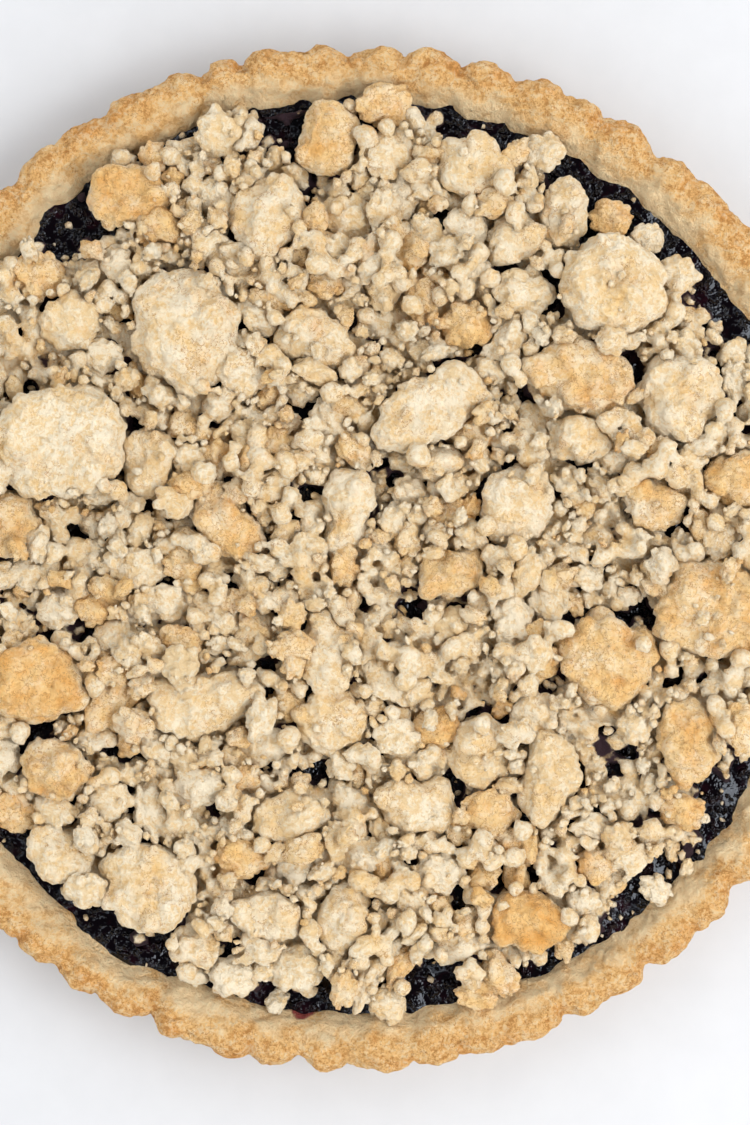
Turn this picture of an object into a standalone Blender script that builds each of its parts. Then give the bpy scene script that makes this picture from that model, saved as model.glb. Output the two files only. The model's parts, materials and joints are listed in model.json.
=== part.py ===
"""A cherry tart with a crumble topping: fluted shortcrust shell, dark cherry filling, crumble bed and big crumble lumps.

Metres, +Z up. The origin is the middle of the flat underside, so the tart stands on z = 0.
"""

import math

import bmesh
import bpy
from mathutils import Vector, noise

# Driving dimensions of the shell, metres
RIM_RADIUS = 0.1400  # to the crests of the flutes, at the top
FOOT_INSET = 0.0060  # how much smaller the tart is at its foot
FLUTE_COUNT = 60
COLUMNS_PER_FLUTE = 4
FLUTE_DEPTH = 0.0026
RIM_HEIGHT = 0.0255
FLOOR_THICKNESS = 0.0050
FOOT_ROUNDING = 0.0018

# The rim's cross section, measured inwards from the crests and down from the top
WALL_TOP_DROP = 0.0048
SHOULDER_INSET = 0.0016
SHOULDER_DROP = 0.0014
CROWN_INSET = 0.0056
INNER_LIP_INSET = 0.0105
INNER_LIP_DROP = 0.0018
WALL_AT_FILLING = 0.0156
WALL_AT_FLOOR = 0.0200

# How unevenly the dough was pressed
INNER_WANDER = 0.0026
HEIGHT_WANDER = 0.0012

# Filling and crumble
FILLING_LEVEL = 0.0185
FIT_GAP = 0.0004  # between pieces that touch
BED_RADIUS = 0.1160
BED_EDGE_WANDER = 0.0040
BED_THICKNESS = 0.0062
BED_EDGE_THICKNESS = 0.0028
BED_DOME = 0.0012
BED_RELIEF = 0.0011
BED_RELIEF_WIDTH = 0.017
BED_EDGE_SLOPE = 0.0015
BED_COLUMNS = 48
BED_RINGS = 6

# Lumps
LUMP_SEAT = 0.0024  # a lump's lowest point, above the filling
LUMP_BASE_HEIGHT = 0.0030
LUMP_HEIGHT_SHARE = 0.45  # of its width, on top of the base height
LUMP_HEIGHT_SPREAD = 0.10
LUMP_SQUARENESS = 0.80  # 1 is round, less is squarer
LUMP_UNEVENNESS = 0.42
LUMP_DETAIL = 2  # icosphere subdivisions
SEAT_SIDES = 10
SEAT_CUTTER_HEIGHT = 0.0200

# Colours, linear
CRUST_COLOUR = (0.72, 0.44, 0.18, 1)
FILLING_COLOUR = (0.012, 0.004, 0.006, 1)
CRUMBLE_COLOUR = (0.80, 0.60, 0.34, 1)

# The lumps as large as berries: middle (x, y), length, width, in millimetres, and turn in degrees
LUMPS = (
    (-78, 31, 37, 32, 20),
    (-46, 62, 34, 27, 100),
    (21, 39, 33, 20, 32),
    (97, -14, 30, 22, 0),
    (61, 49, 29, 19, -14),
    (70, 73, 27, 25, -40),
    (68, -28, 26, 21, -20),
    (-85, -33, 25, 23, 0),
    (-39, -40, 29, 17, 10),
    (-55, -88, 25, 21, -35),
    (53, -59, 25, 16, 85),
    (89, -50, 24, 16, 100),
    (-96, 9, 23, 18, -10),
    (-35, 9, 25, 13, -38),
    (-60, 97, 22, 16, 5),
    (88, 44, 21, 20, 0),
    (-11, 59, 22, 15, 0),
    (47, -98, 22, 16, -8),
    (-22, 93, 20, 17, 60),
    (44, 14, 20, 18, 80),
    (32, 104, 19, 17, 0),
    (-81, -57, 20, 17, -50),
    (-5, -45, 21, 15, 0),
    (-8, -25, 19, 16, 90),
    (35, -53, 19, 15, 60),
    (17, -67, 19, 14, -15),
    (-19, -70, 20, 12, 0),
    (-2, 13, 22, 14, 95),
    (105, 21, 17, 15, 20),
    (60, 32, 18, 11, -15),
    (-56, 26, 18, 14, 80),
    (-76, 63, 18, 13, 0),
    (-8, 112, 17, 14, 80),
    (42, 86, 15, 12, 80),
    (57, 94, 17, 13, 90),
    (81, 14, 16, 14, -30),
    (27, -4, 17, 13, 0),
    (-23, -98, 18, 13, -25),
    (-3, -97, 19, 14, 70),
    (-80, -79, 18, 12, -30),
    (-114, -17, 17, 14, 80),
    (-108, 45, 17, 14, 60),
    (112, -43, 16, 13, 70),
)

MM = 0.001
COLUMNS = FLUTE_COUNT * COLUMNS_PER_FLUTE


def clear_scene():
    for leftover in list(bpy.data.objects):
        bpy.data.objects.remove(leftover)


def material(name, colour, roughness):
    made = bpy.data.materials.new(name)
    made.use_nodes = True
    shader = made.node_tree.nodes["Principled BSDF"]
    shader.inputs["Base Color"].default_value = colour
    shader.inputs["Roughness"].default_value = roughness
    shader.inputs["Metallic"].default_value = 0
    return made


def wander(angle, waves, seed):
    """A smooth, uneven value from about -1 to 1 that meets itself after a full turn."""
    reach = waves / math.pi
    return 1.6 * noise.noise(Vector((reach * math.cos(angle), reach * math.sin(angle), seed)))


def flute(column):
    """How far the wall is set back at this column: 0 on a crest, FLUTE_DEPTH in the groove between two."""
    phase = (column % COLUMNS_PER_FLUTE) / COLUMNS_PER_FLUTE
    return FLUTE_DEPTH * (1 - math.sin(math.pi * phase))


def inner_radius(angle, inset):
    """The shell's inner wall, pressed unevenly in and out."""
    return RIM_RADIUS - inset + INNER_WANDER * wander(angle, 22, 3.7)


def ring_point(radius, angle, height):
    return Vector((radius * math.cos(angle), radius * math.sin(angle), height))


def rim_top(angle):
    return RIM_HEIGHT + HEIGHT_WANDER * wander(angle, 14, 8.1)


def outer_section(column):
    """The fluted side of the shell, from the underside up to the crown of the rim."""
    angle = math.tau * column / COLUMNS
    groove = flute(column)
    top = rim_top(angle) - 0.4 * groove
    foot = RIM_RADIUS - FOOT_INSET - groove
    section = (
        (foot - FOOT_ROUNDING, 0),
        (foot, FOOT_ROUNDING),
        (RIM_RADIUS - groove, top - WALL_TOP_DROP),
        (RIM_RADIUS - SHOULDER_INSET - 0.8 * groove, top - SHOULDER_DROP),
        (RIM_RADIUS - CROWN_INSET - 0.3 * groove, top),
    )
    return [ring_point(radius, angle, height) for radius, height in section]


def inner_section(column):
    """The smooth inside of the shell, from the lip down to the floor."""
    angle = math.tau * column / FLUTE_COUNT
    section = (
        (inner_radius(angle, INNER_LIP_INSET), rim_top(angle) - INNER_LIP_DROP),
        (inner_radius(angle, WALL_AT_FILLING), FILLING_LEVEL),
        (inner_radius(angle, WALL_AT_FLOOR), FLOOR_THICKNESS),
    )
    return [ring_point(radius, angle, height) for radius, height in section]


def add_rings(mesh, sections):
    return [[mesh.verts.new(point) for point in section] for section in sections]


def skin(mesh, rings):
    """Faces between upright cuts set round the axis, each a row of points."""
    for here, after in zip(rings, rings[1:] + rings[:1]):
        for step in range(len(here) - 1):
            mesh.faces.new((here[step], after[step], after[step + 1], here[step + 1]))


def cap(mesh, edge, middle):
    """A flat or low cone from a closed ring to a point in its middle."""
    centre = mesh.verts.new(middle)
    for here, after in zip(edge, edge[1:] + edge[:1]):
        mesh.faces.new((centre, here, after))


def solid_object(name, mesh, finish):
    bmesh.ops.recalc_face_normals(mesh, faces=mesh.faces)
    data = bpy.data.meshes.new(name)
    mesh.to_mesh(data)
    mesh.free()
    data.materials.append(finish)
    made = bpy.data.objects.new(name, data)
    bpy.context.scene.collection.objects.link(made)
    return made


def make_crust(finish):
    """Each flute's columns meet one column of the smooth inside across the crown of the rim."""
    mesh = bmesh.new()
    outside = add_rings(mesh, [outer_section(column) for column in range(COLUMNS)])
    inside = add_rings(mesh, [inner_section(column) for column in range(FLUTE_COUNT)])
    skin(mesh, outside)
    skin(mesh, inside)
    cap(mesh, [ring[0] for ring in outside], (0, 0, 0))
    cap(mesh, [ring[-1] for ring in inside], (0, 0, FLOOR_THICKNESS))
    half = COLUMNS_PER_FLUTE // 2
    for column in range(COLUMNS):
        here, after = outside[column][-1], outside[(column + 1) % COLUMNS][-1]
        lip = inside[(column + half) // COLUMNS_PER_FLUTE % FLUTE_COUNT][0]
        next_lip = inside[(column + 1 + half) // COLUMNS_PER_FLUTE % FLUTE_COUNT][0]
        mesh.faces.new((here, after, lip))
        if next_lip is not lip:
            mesh.faces.new((lip, after, next_lip))
    crust = solid_object("crust", mesh, finish)
    crust.data.shade_smooth()
    crust.data.set_sharp_from_angle(angle=math.radians(50))
    return crust


def make_filling(finish):
    """Fills the shell from wall to wall, up to the level that shows between the crumbs and the rim."""
    low = FLOOR_THICKNESS + FIT_GAP
    sections = []
    for column in range(FLUTE_COUNT):
        angle = math.tau * column / FLUTE_COUNT
        foot = ring_point(inner_radius(angle, WALL_AT_FLOOR + FIT_GAP), angle, low)
        edge = ring_point(inner_radius(angle, WALL_AT_FILLING + 2 * FIT_GAP), angle, FILLING_LEVEL)
        sections.append((foot, edge))
    mesh = bmesh.new()
    rings = add_rings(mesh, sections)
    skin(mesh, rings)
    cap(mesh, [ring[0] for ring in rings], (0, 0, low))
    cap(mesh, [ring[-1] for ring in rings], (0, 0, FILLING_LEVEL))
    return solid_object("filling", mesh, finish)


def bed_top(radius, angle):
    """Height of the crumble bed over the filling: gently domed, uneven, and thin at its ragged edge."""
    inwards = max(0, 1 - (radius / BED_RADIUS) ** 2)
    fullness = min(1, 2.2 * inwards**0.5)
    thickness = BED_EDGE_THICKNESS + (BED_THICKNESS - BED_EDGE_THICKNESS) * fullness
    relief = 1.6 * noise.noise(ring_point(radius, angle, 0) / BED_RELIEF_WIDTH)
    return FILLING_LEVEL + thickness + BED_DOME * inwards + BED_RELIEF * relief


def make_bed(finish):
    """The small crumbs as one heap, out to its uneven outline."""
    low = FILLING_LEVEL + FIT_GAP
    sections = []
    for column in range(BED_COLUMNS):
        angle = math.tau * column / BED_COLUMNS
        edge = BED_RADIUS + BED_EDGE_WANDER * wander(angle, 16, 5.2)
        section = [ring_point(edge, angle, low)]
        for ring in range(BED_RINGS):
            radius = (edge - BED_EDGE_SLOPE) * (1 - ring / BED_RINGS)
            section.append(ring_point(radius, angle, bed_top(radius, angle)))
        sections.append(section)
    mesh = bmesh.new()
    rings = add_rings(mesh, sections)
    skin(mesh, rings)
    cap(mesh, [ring[0] for ring in rings], (0, 0, low))
    cap(mesh, [ring[-1] for ring in rings], (0, 0, bed_top(0, 0)))
    return solid_object("crumble_bed", mesh, finish)


def lump_height(number, width):
    unevenness = 1 + LUMP_HEIGHT_SPREAD * math.sin(2.4 * number)
    return LUMP_BASE_HEIGHT + LUMP_HEIGHT_SHARE * width * unevenness


def fit_box(mesh, sizes):
    """Stretches the mesh to exactly these sizes along X, Y and Z, about its middle."""
    for axis, size in enumerate(sizes):
        low = min(vert.co[axis] for vert in mesh.verts)
        high = max(vert.co[axis] for vert in mesh.verts)
        for vert in mesh.verts:
            vert.co[axis] = (vert.co[axis] - (low + high) / 2) * size / (high - low)


def place_object(made, place, height):
    middle_x, middle_y, length, width, turn = place
    made.location = (middle_x * MM, middle_y * MM, height)
    made.rotation_euler = (0, 0, math.radians(turn))


def make_lump(number, place, finish):
    """A clod with rounded corners and uneven sides, standing in the bed."""
    middle_x, middle_y, length, width, turn = place
    height = lump_height(number, width * MM)
    mesh = bmesh.new()
    bmesh.ops.create_icosphere(mesh, subdivisions=LUMP_DETAIL, radius=1)
    offset = Vector((7.3 * number, 2.9 * number, 0))
    for vert in mesh.verts:
        squared = Vector([math.copysign(abs(part) ** LUMP_SQUARENESS, part) for part in vert.co])
        vert.co = squared * (1 + LUMP_UNEVENNESS * noise.noise(vert.co * 1.15 + offset))
    fit_box(mesh, (length * MM, width * MM, height))
    lump = solid_object(f"lump_{number:02d}", mesh, finish)
    place_object(lump, place, FILLING_LEVEL + LUMP_SEAT + height / 2)
    return lump


def press_seat(bed, lump, place):
    """Presses a seat into the bed: the lump's outline from above, a fitting gap wider, down to just below the lump."""
    reach = [0.0] * SEAT_SIDES
    directions = [math.tau * side / SEAT_SIDES for side in range(SEAT_SIDES)]
    for vert in lump.data.vertices:
        for side, angle in enumerate(directions):
            reach[side] = max(reach[side], vert.co.x * math.cos(angle) + vert.co.y * math.sin(angle))
    mesh = bmesh.new()
    outline = []
    for side in range(SEAT_SIDES):
        first, second = directions[side], directions[(side + 1) % SEAT_SIDES]
        first_reach = reach[side] + FIT_GAP
        second_reach = reach[(side + 1) % SEAT_SIDES] + FIT_GAP
        spread = math.sin(second - first)
        corner_x = (first_reach * math.sin(second) - second_reach * math.sin(first)) / spread
        corner_y = (second_reach * math.cos(first) - first_reach * math.cos(second)) / spread
        outline.append((corner_x, corner_y))
    floor = mesh.faces.new([mesh.verts.new((x, y, 0)) for x, y in outline])
    raised = bmesh.ops.extrude_face_region(mesh, geom=[floor])
    lifted = [part for part in raised["geom"] if isinstance(part, bmesh.types.BMVert)]
    bmesh.ops.translate(mesh, verts=lifted, vec=(0, 0, SEAT_CUTTER_HEIGHT))
    seat = solid_object(lump.name.replace("lump", "seat"), mesh, bed.data.materials[0])
    place_object(seat, place, FILLING_LEVEL + LUMP_SEAT - FIT_GAP)
    seat.hide_render = True
    seat.display_type = "WIRE"
    cut = bed.modifiers.new(seat.name, "BOOLEAN")
    cut.operation = "DIFFERENCE"
    cut.solver = "EXACT"
    cut.object = seat


def main():
    clear_scene()
    crust_finish = material("baked shortcrust", CRUST_COLOUR, 0.85)
    filling_finish = material("dark cherry filling", FILLING_COLOUR, 0.2)
    crumble_finish = material("crumble", CRUMBLE_COLOUR, 0.9)
    make_crust(crust_finish)
    make_filling(filling_finish)
    bed = make_bed(crumble_finish)
    for number, place in enumerate(LUMPS, start=1):
        lump = make_lump(number, place, crumble_finish)
        press_seat(bed, lump, place)


main()
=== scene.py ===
import json
import math
import random

import bmesh
import bpy
import numpy as np
from mathutils import Matrix, Vector

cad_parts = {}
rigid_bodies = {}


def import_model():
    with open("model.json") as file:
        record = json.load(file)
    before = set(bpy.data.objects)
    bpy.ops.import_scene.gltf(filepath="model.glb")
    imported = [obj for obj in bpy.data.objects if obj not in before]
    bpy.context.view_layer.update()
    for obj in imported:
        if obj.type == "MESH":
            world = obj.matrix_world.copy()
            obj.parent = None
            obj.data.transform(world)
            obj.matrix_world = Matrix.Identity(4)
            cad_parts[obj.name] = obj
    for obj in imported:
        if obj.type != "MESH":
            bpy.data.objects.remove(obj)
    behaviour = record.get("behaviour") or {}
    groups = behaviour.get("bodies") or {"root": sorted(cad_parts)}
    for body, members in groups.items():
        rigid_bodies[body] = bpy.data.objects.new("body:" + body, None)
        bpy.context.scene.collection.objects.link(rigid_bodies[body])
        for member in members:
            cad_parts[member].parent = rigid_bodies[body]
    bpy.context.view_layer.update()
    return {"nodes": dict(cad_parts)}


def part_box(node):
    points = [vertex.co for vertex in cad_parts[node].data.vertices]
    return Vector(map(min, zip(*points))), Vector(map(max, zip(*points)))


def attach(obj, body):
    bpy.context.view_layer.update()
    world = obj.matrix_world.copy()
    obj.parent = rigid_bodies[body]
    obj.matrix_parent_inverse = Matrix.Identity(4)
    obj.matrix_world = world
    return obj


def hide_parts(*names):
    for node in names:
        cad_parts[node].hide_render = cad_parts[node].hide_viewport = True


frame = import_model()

# Lengths are millimetres up to the point where a mesh is made, then metres.
mm = 0.001
scene = bpy.context.scene


def report(text):
    print("cherry tart:", text)


gradientTable = np.random.default_rng(11).normal(size=(256, 3))
gradientTable /= np.linalg.norm(gradientTable, axis=1)[:, None]


def softNoise(points, size, seed=0):
    # smooth noise, roughly -1 to 1, with bumps about `size` across
    at = np.asarray(points, float) / size + seed * 13.7
    base = np.floor(at).astype(np.int64)
    part = at - base
    ease = part**3 * (part * (part * 6 - 15) + 10)
    total = np.zeros(len(at))
    for corner in np.ndindex(2, 2, 2):
        cell = base + corner
        mix = (cell[:, 0] * 73856093) ^ (cell[:, 1] * 19349663) ^ (cell[:, 2] * 83492791)
        mix = (mix & 0xFFFFFF) * 1274126177
        pick = (mix >> 11) & 255
        weight = np.prod(np.where(np.array(corner) == 1, ease, 1 - ease), axis=1)
        total += weight * np.einsum("ij,ij->i", gradientTable[pick], part - corner)
    return np.clip(total * 1.7, -1, 1)


def crackLines(points, size, seed):
    # 1 along thin wandering lines, broken here and there, 0 elsewhere
    thinness = 0.07
    line = np.exp(-((softNoise(points, size, seed) / thinness) ** 2))
    return line * smoothStep(-0.15, 0.35, softNoise(points, size * 0.7, seed + 5))


def onFloor(x, y):
    # points for a noise that varies over the plan only
    return np.stack([x, y, np.zeros_like(x)], axis=-1).reshape(-1, 3)


def smoothStep(low, high, value):
    t = np.clip((value - low) / (high - low), 0, 1)
    return t * t * (3 - 2 * t)


def newObject(name, data):
    thing = bpy.data.objects.new(name, data)
    scene.collection.objects.link(thing)
    return thing


def meshData(name, mesh):
    # a bmesh made into mesh data and freed
    data = bpy.data.meshes.new(name)
    mesh.to_mesh(data)
    mesh.free()
    return data


def addPiece(name, points, faces, material):
    mesh = bpy.data.meshes.new(name)
    mesh.from_pydata((np.asarray(points) * mm).tolist(), [], faces)
    mesh.materials.append(material)
    mesh.shade_smooth()
    return newObject(name, mesh)


def paint(piece, name, values):
    # a number for each vertex, which the material reads
    layer = piece.data.attributes.new(name, "FLOAT", "POINT")
    layer.data.foreach_set("value", np.asarray(values, np.float32).ravel())


def ringFaces(columns, rows, firstCap, lastCap):
    # quads of a closed band of `columns` upright rows, with a fan at either end
    faces = []
    for column in range(columns):
        after = (column + 1) % columns
        for row in range(rows - 1):
            here = column * rows + row
            there = after * rows + row
            faces.append((here, there, there + 1, here + 1))
        faces.append((firstCap, after * rows, column * rows))
        faces.append((lastCap, column * rows + rows - 1, after * rows + rows - 1))
    return faces


def ringNormals(grid):
    # normals of a (columns, rows, 3) band of points that closes on itself
    along = np.roll(grid, -1, axis=0) - np.roll(grid, 1, axis=0)
    across = np.gradient(grid, axis=1)
    normal = np.cross(along, across)
    return normal / np.maximum(np.linalg.norm(normal, axis=2), 1e-9)[..., None]


def evaluatedMesh(thing, name):
    # the object's mesh with its modifiers applied
    graph = bpy.context.evaluated_depsgraph_get()
    mesh = bpy.data.meshes.new_from_object(thing.evaluated_get(graph), depsgraph=graph)
    mesh.name = name
    return mesh


def addNode(tree, kind, inputs=None, **settings):
    # inputs: a value or another node's output for each socket, by its name or number
    node = tree.nodes.new(kind)
    for name, value in settings.items():
        setattr(node, name, value)
    for name, value in (inputs or {}).items():
        socket = node.inputs[name]
        if isinstance(value, bpy.types.NodeSocket):
            tree.links.new(value, socket)
        else:
            socket.default_value = value
    return node


def addMath(tree, operation, first, second=0.0, third=0.0):
    inputs = {0: first, 1: second, 2: third}
    return addNode(tree, "ShaderNodeMath", inputs, operation=operation).outputs[0]


def addMix(tree, factor, first, second):
    # sockets 0, 6 and 7 are a colour mix's factor and its two colours
    inputs = {0: factor, 6: first, 7: second}
    return addNode(tree, "ShaderNodeMix", inputs, data_type="RGBA").outputs[2]


def addRange(tree, value, low, high, outLow=0.0, outHigh=1.0):
    inputs = {"Value": value, "From Min": low, "From Max": high, "To Min": outLow, "To Max": outHigh}
    return addNode(tree, "ShaderNodeMapRange", inputs, interpolation_type="SMOOTHSTEP").outputs[0]


def noiseOf(tree, vector, scale, detail=2.0, roughness=0.5):
    inputs = {"Vector": vector, "Scale": scale, "Detail": detail, "Roughness": roughness}
    return addNode(tree, "ShaderNodeTexNoise", inputs).outputs["Fac"]


def groupTree(name, inputs, outputs):
    tree = bpy.data.node_groups.new(name, "ShaderNodeTree")
    for label, kind, value in inputs:
        socket = tree.interface.new_socket(label, in_out="INPUT", socket_type=kind)
        if value is not None:
            socket.default_value = value
    for label, kind in outputs:
        tree.interface.new_socket(label, in_out="OUTPUT", socket_type=kind)
    return tree, tree.nodes.new("NodeGroupInput"), tree.nodes.new("NodeGroupOutput")


def makeSandyGrain():
    # butter and flour grain: a mottled tone around 0.5 and a height for the bump; the tone rises and falls
    # with the height, so the hollows of the grain come out darker, which is painted shade
    tree, given, result = groupTree(
        "sandyGrain",
        (
            ("Vector", "NodeSocketVector", None),
            ("Grains per metre", "NodeSocketFloat", 750.0),
            ("Clumps per metre", "NodeSocketFloat", 240.0),
        ),
        (("Tone with hollow shade", "NodeSocketFloat"), ("Height", "NodeSocketFloat")),
    )
    grain = noiseOf(tree, given.outputs["Vector"], given.outputs["Grains per metre"], 4.0, 0.75)
    clump = noiseOf(tree, given.outputs["Vector"], given.outputs["Clumps per metre"], 3.0, 0.6)
    tone = addMath(tree, "MULTIPLY_ADD", grain, 0.9, addMath(tree, "MULTIPLY_ADD", clump, 0.6, -0.25))
    tree.links.new(tone, result.inputs["Tone with hollow shade"])
    tree.links.new(addMath(tree, "MULTIPLY_ADD", clump, 0.8, grain), result.inputs["Height"])
    return tree


def makeFineCracks():
    # broken hairlines where the surface dried and pulled apart
    tree, given, result = groupTree(
        "fineCracks",
        (("Vector", "NodeSocketVector", None), ("Amount", "NodeSocketFloat", 0.0)),
        (("Mask", "NodeSocketFloat"),),
    )
    path = noiseOf(tree, given.outputs["Vector"], 330.0, 3.0, 0.65)
    away = addMath(tree, "ABSOLUTE", addMath(tree, "SUBTRACT", path, 0.5))
    line = addRange(tree, away, 0.022, 0.004)
    gaps = noiseOf(tree, given.outputs["Vector"], 150.0, 2.0, 0.5)
    where = addRange(tree, addMath(tree, "ADD", gaps, given.outputs["Amount"]), 0.75, 1.0)
    tree.links.new(addMath(tree, "MULTIPLY", line, where), result.inputs["Mask"])
    return tree


def makeOvenColour():
    # where the oven has browned the dough: patches whose edges break up into the grain
    tree, given, result = groupTree(
        "ovenColour",
        (
            ("Vector", "NodeSocketVector", None),
            ("Amount", "NodeSocketFloat", 0.0),
            ("Patches per metre", "NodeSocketFloat", 70.0),
        ),
        (("Mask", "NodeSocketFloat"),),
    )
    patch = noiseOf(tree, given.outputs["Vector"], given.outputs["Patches per metre"], 5.0, 0.75)
    broken = addMath(tree, "MULTIPLY_ADD", patch, 2.0, -0.5)
    level = addMath(tree, "ADD", given.outputs["Amount"], broken)
    tree.links.new(addRange(tree, level, 0.62, 1.5), result.inputs["Mask"])
    return tree


sandyGrain = makeSandyGrain()
fineCracks = makeFineCracks()
ovenColour = makeOvenColour()


def newMaterial(name, **constants):
    material = bpy.data.materials.new(name)
    material.use_nodes = True
    tree = material.node_tree
    shader = tree.nodes["Principled BSDF"]
    for label, value in constants.items():
        shader.inputs[label.replace("_", " ")].default_value = value
    place = addNode(tree, "ShaderNodeTexCoord").outputs["Object"]
    return material, tree, shader, place


def useGroup(tree, group, **inputs):
    named = {label.replace("_", " "): value for label, value in inputs.items()}
    return addNode(tree, "ShaderNodeGroup", named, node_tree=group)


def attributeOf(tree, name):
    return addNode(tree, "ShaderNodeAttribute", attribute_name=name).outputs["Fac"]


def grainOf(tree, place, look):
    grains, clumps = look["grainsPerMetre"], look["clumpsPerMetre"]
    return useGroup(tree, sandyGrain, Vector=place, Grains_per_metre=grains, Clumps_per_metre=clumps)


def addBump(tree, shader, look, height):
    inputs = {"Strength": look["bump"], "Distance": look["bumpDistance"], "Height": height}
    bump = addNode(tree, "ShaderNodeBump", inputs)
    tree.links.new(bump.outputs["Normal"], shader.inputs["Normal"])


crumbleLook = {
    "cream": (0.960, 0.825, 0.610, 1),
    "shaded": (0.880, 0.650, 0.360, 1),
    "pitSpeckAndShade": (0.740, 0.400, 0.120, 1),
    "golden": (0.930, 0.620, 0.260, 1),
    "toasted": (0.830, 0.400, 0.090, 1),
    "crack": (0.500, 0.230, 0.060, 1),
    "jamStained": (0.028, 0.008, 0.015, 1),
    "grainsPerMetre": 750.0,
    "clumpsPerMetre": 330.0,
    "bump": 1.0,
    "bumpDistance": 0.0020,
}


def makeCrumbleMaterial():
    look = crumbleLook
    material, tree, shader, place = newMaterial("baked crumble", Roughness=0.9)
    grain = grainOf(tree, place, look)
    toast = attributeOf(tree, "toast")
    shade = attributeOf(tree, "tone")
    stain = attributeOf(tree, "stain")
    tone = addMath(tree, "ADD", grain.outputs["Tone with hollow shade"], shade)
    # cream on the raised grain and the darker shaded colour in its hollows: painted shade, shifted by each
    # crumb's own random tone
    base = addMix(tree, addRange(tree, tone, 0.40, 0.58), look["shaded"], look["cream"])
    light = useGroup(tree, ovenColour, Vector=place, Amount=toast, Patches_per_metre=110.0)
    base = addMix(tree, light.outputs["Mask"], base, look["golden"])
    deep = addMath(tree, "SUBTRACT", toast, 0.26)
    dark = useGroup(tree, ovenColour, Vector=place, Amount=deep, Patches_per_metre=170.0)
    base = addMix(tree, dark.outputs["Mask"], base, look["toasted"])
    # dark warm pits where the grain's tone is lowest: painted shade in the hollows of the bump, and brown
    # specks where the crumb is golden
    pitsAndShade = addRange(tree, grain.outputs["Tone with hollow shade"], 0.43, 0.34, 0.0, 0.7)
    shown = addMath(tree, "MULTIPLY_ADD", light.outputs["Mask"], 0.85, 0.15)
    base = addMix(tree, addMath(tree, "MULTIPLY", pitsAndShade, shown), base, look["pitSpeckAndShade"])
    cracks = useGroup(tree, fineCracks, Vector=place, Amount=toast)
    base = addMix(tree, addMath(tree, "MULTIPLY", cracks.outputs["Mask"], 0.7), base, look["crack"])
    ragged = noiseOf(tree, place, 420.0, 3.0, 0.6)
    # the filling's colour where the stain is high: jam stain, and on the low floor of the heap painted
    # shade in the deep gaps between crumbs
    soaked = addRange(tree, addMath(tree, "MULTIPLY_ADD", ragged, 0.9, stain), 0.95, 1.45)
    base = addMix(tree, soaked, base, look["jamStained"])
    tree.links.new(base, shader.inputs["Base Color"])
    addBump(tree, shader, look, grain.outputs["Height"])
    tree.links.new(addRange(tree, grain.outputs["Tone with hollow shade"], 0.3, 0.7, 0.95, 0.82), shader.inputs["Roughness"])
    return material


crustLook = {
    "pale": (0.985, 0.725, 0.410, 1),
    "baked": (0.935, 0.555, 0.205, 1),
    "browned": (0.800, 0.340, 0.065, 1),
    "pitSpeckAndShade": (0.600, 0.260, 0.060, 1),
    "flour": (0.980, 0.800, 0.510, 1),
    "jamStained": (0.350, 0.060, 0.050, 1),
    "grainsPerMetre": 900.0,
    "clumpsPerMetre": 380.0,
    "bump": 1.0,
    "bumpDistance": 0.0024,
}


def makeCrustMaterial():
    look = crustLook
    material, tree, shader, place = newMaterial("baked shortcrust", Roughness=0.85)
    grain = grainOf(tree, place, look)
    brown = attributeOf(tree, "brown")
    stain = attributeOf(tree, "stain")
    base = addMix(tree, addRange(tree, brown, 0.0, 0.55), look["pale"], look["baked"])
    deep = addMath(tree, "SUBTRACT", brown, 0.35)
    dark = useGroup(tree, ovenColour, Vector=place, Amount=deep, Patches_per_metre=160.0)
    base = addMix(tree, dark.outputs["Mask"], base, look["browned"])
    flour = addRange(tree, grain.outputs["Tone with hollow shade"], 0.48, 0.62, 0.0, 0.5)
    base = addMix(tree, flour, base, look["flour"])
    # brown pits where the grain's tone is lowest: brown specks of the baked crust, and painted shade in the
    # hollows of the bump
    pitsAndShade = addRange(tree, grain.outputs["Tone with hollow shade"], 0.475, 0.37, 0.0, 1.0)
    shown = addMath(tree, "MULTIPLY_ADD", brown, 1.1, 0.1)
    base = addMix(tree, addMath(tree, "MULTIPLY", pitsAndShade, shown), base, look["pitSpeckAndShade"])
    cracks = useGroup(tree, fineCracks, Vector=place, Amount=brown)
    base = addMix(tree, addMath(tree, "MULTIPLY", cracks.outputs["Mask"], 0.9), base, look["pitSpeckAndShade"])
    ragged = noiseOf(tree, place, 500.0, 3.0, 0.6)
    soaked = addRange(tree, addMath(tree, "MULTIPLY_ADD", ragged, 0.9, stain), 1.0, 1.4)
    base = addMix(tree, soaked, base, look["jamStained"])
    tree.links.new(base, shader.inputs["Base Color"])
    addBump(tree, shader, look, grain.outputs["Height"])
    tree.links.new(addRange(tree, grain.outputs["Tone with hollow shade"], 0.3, 0.7, 0.95, 0.78), shader.inputs["Roughness"])
    return material


fillingLook = {
    "roughness": 0.1,
    "refraction": 1.5,
    "shine": 0.5,
    "shineTint": (0.80, 0.88, 1.0, 1),
    "deep": (0.0020, 0.0007, 0.0016, 1),
    "thin": (0.0120, 0.0016, 0.0040, 1),
    "bump": 1.0,
    "bumpDistance": 0.0014,
}


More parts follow.
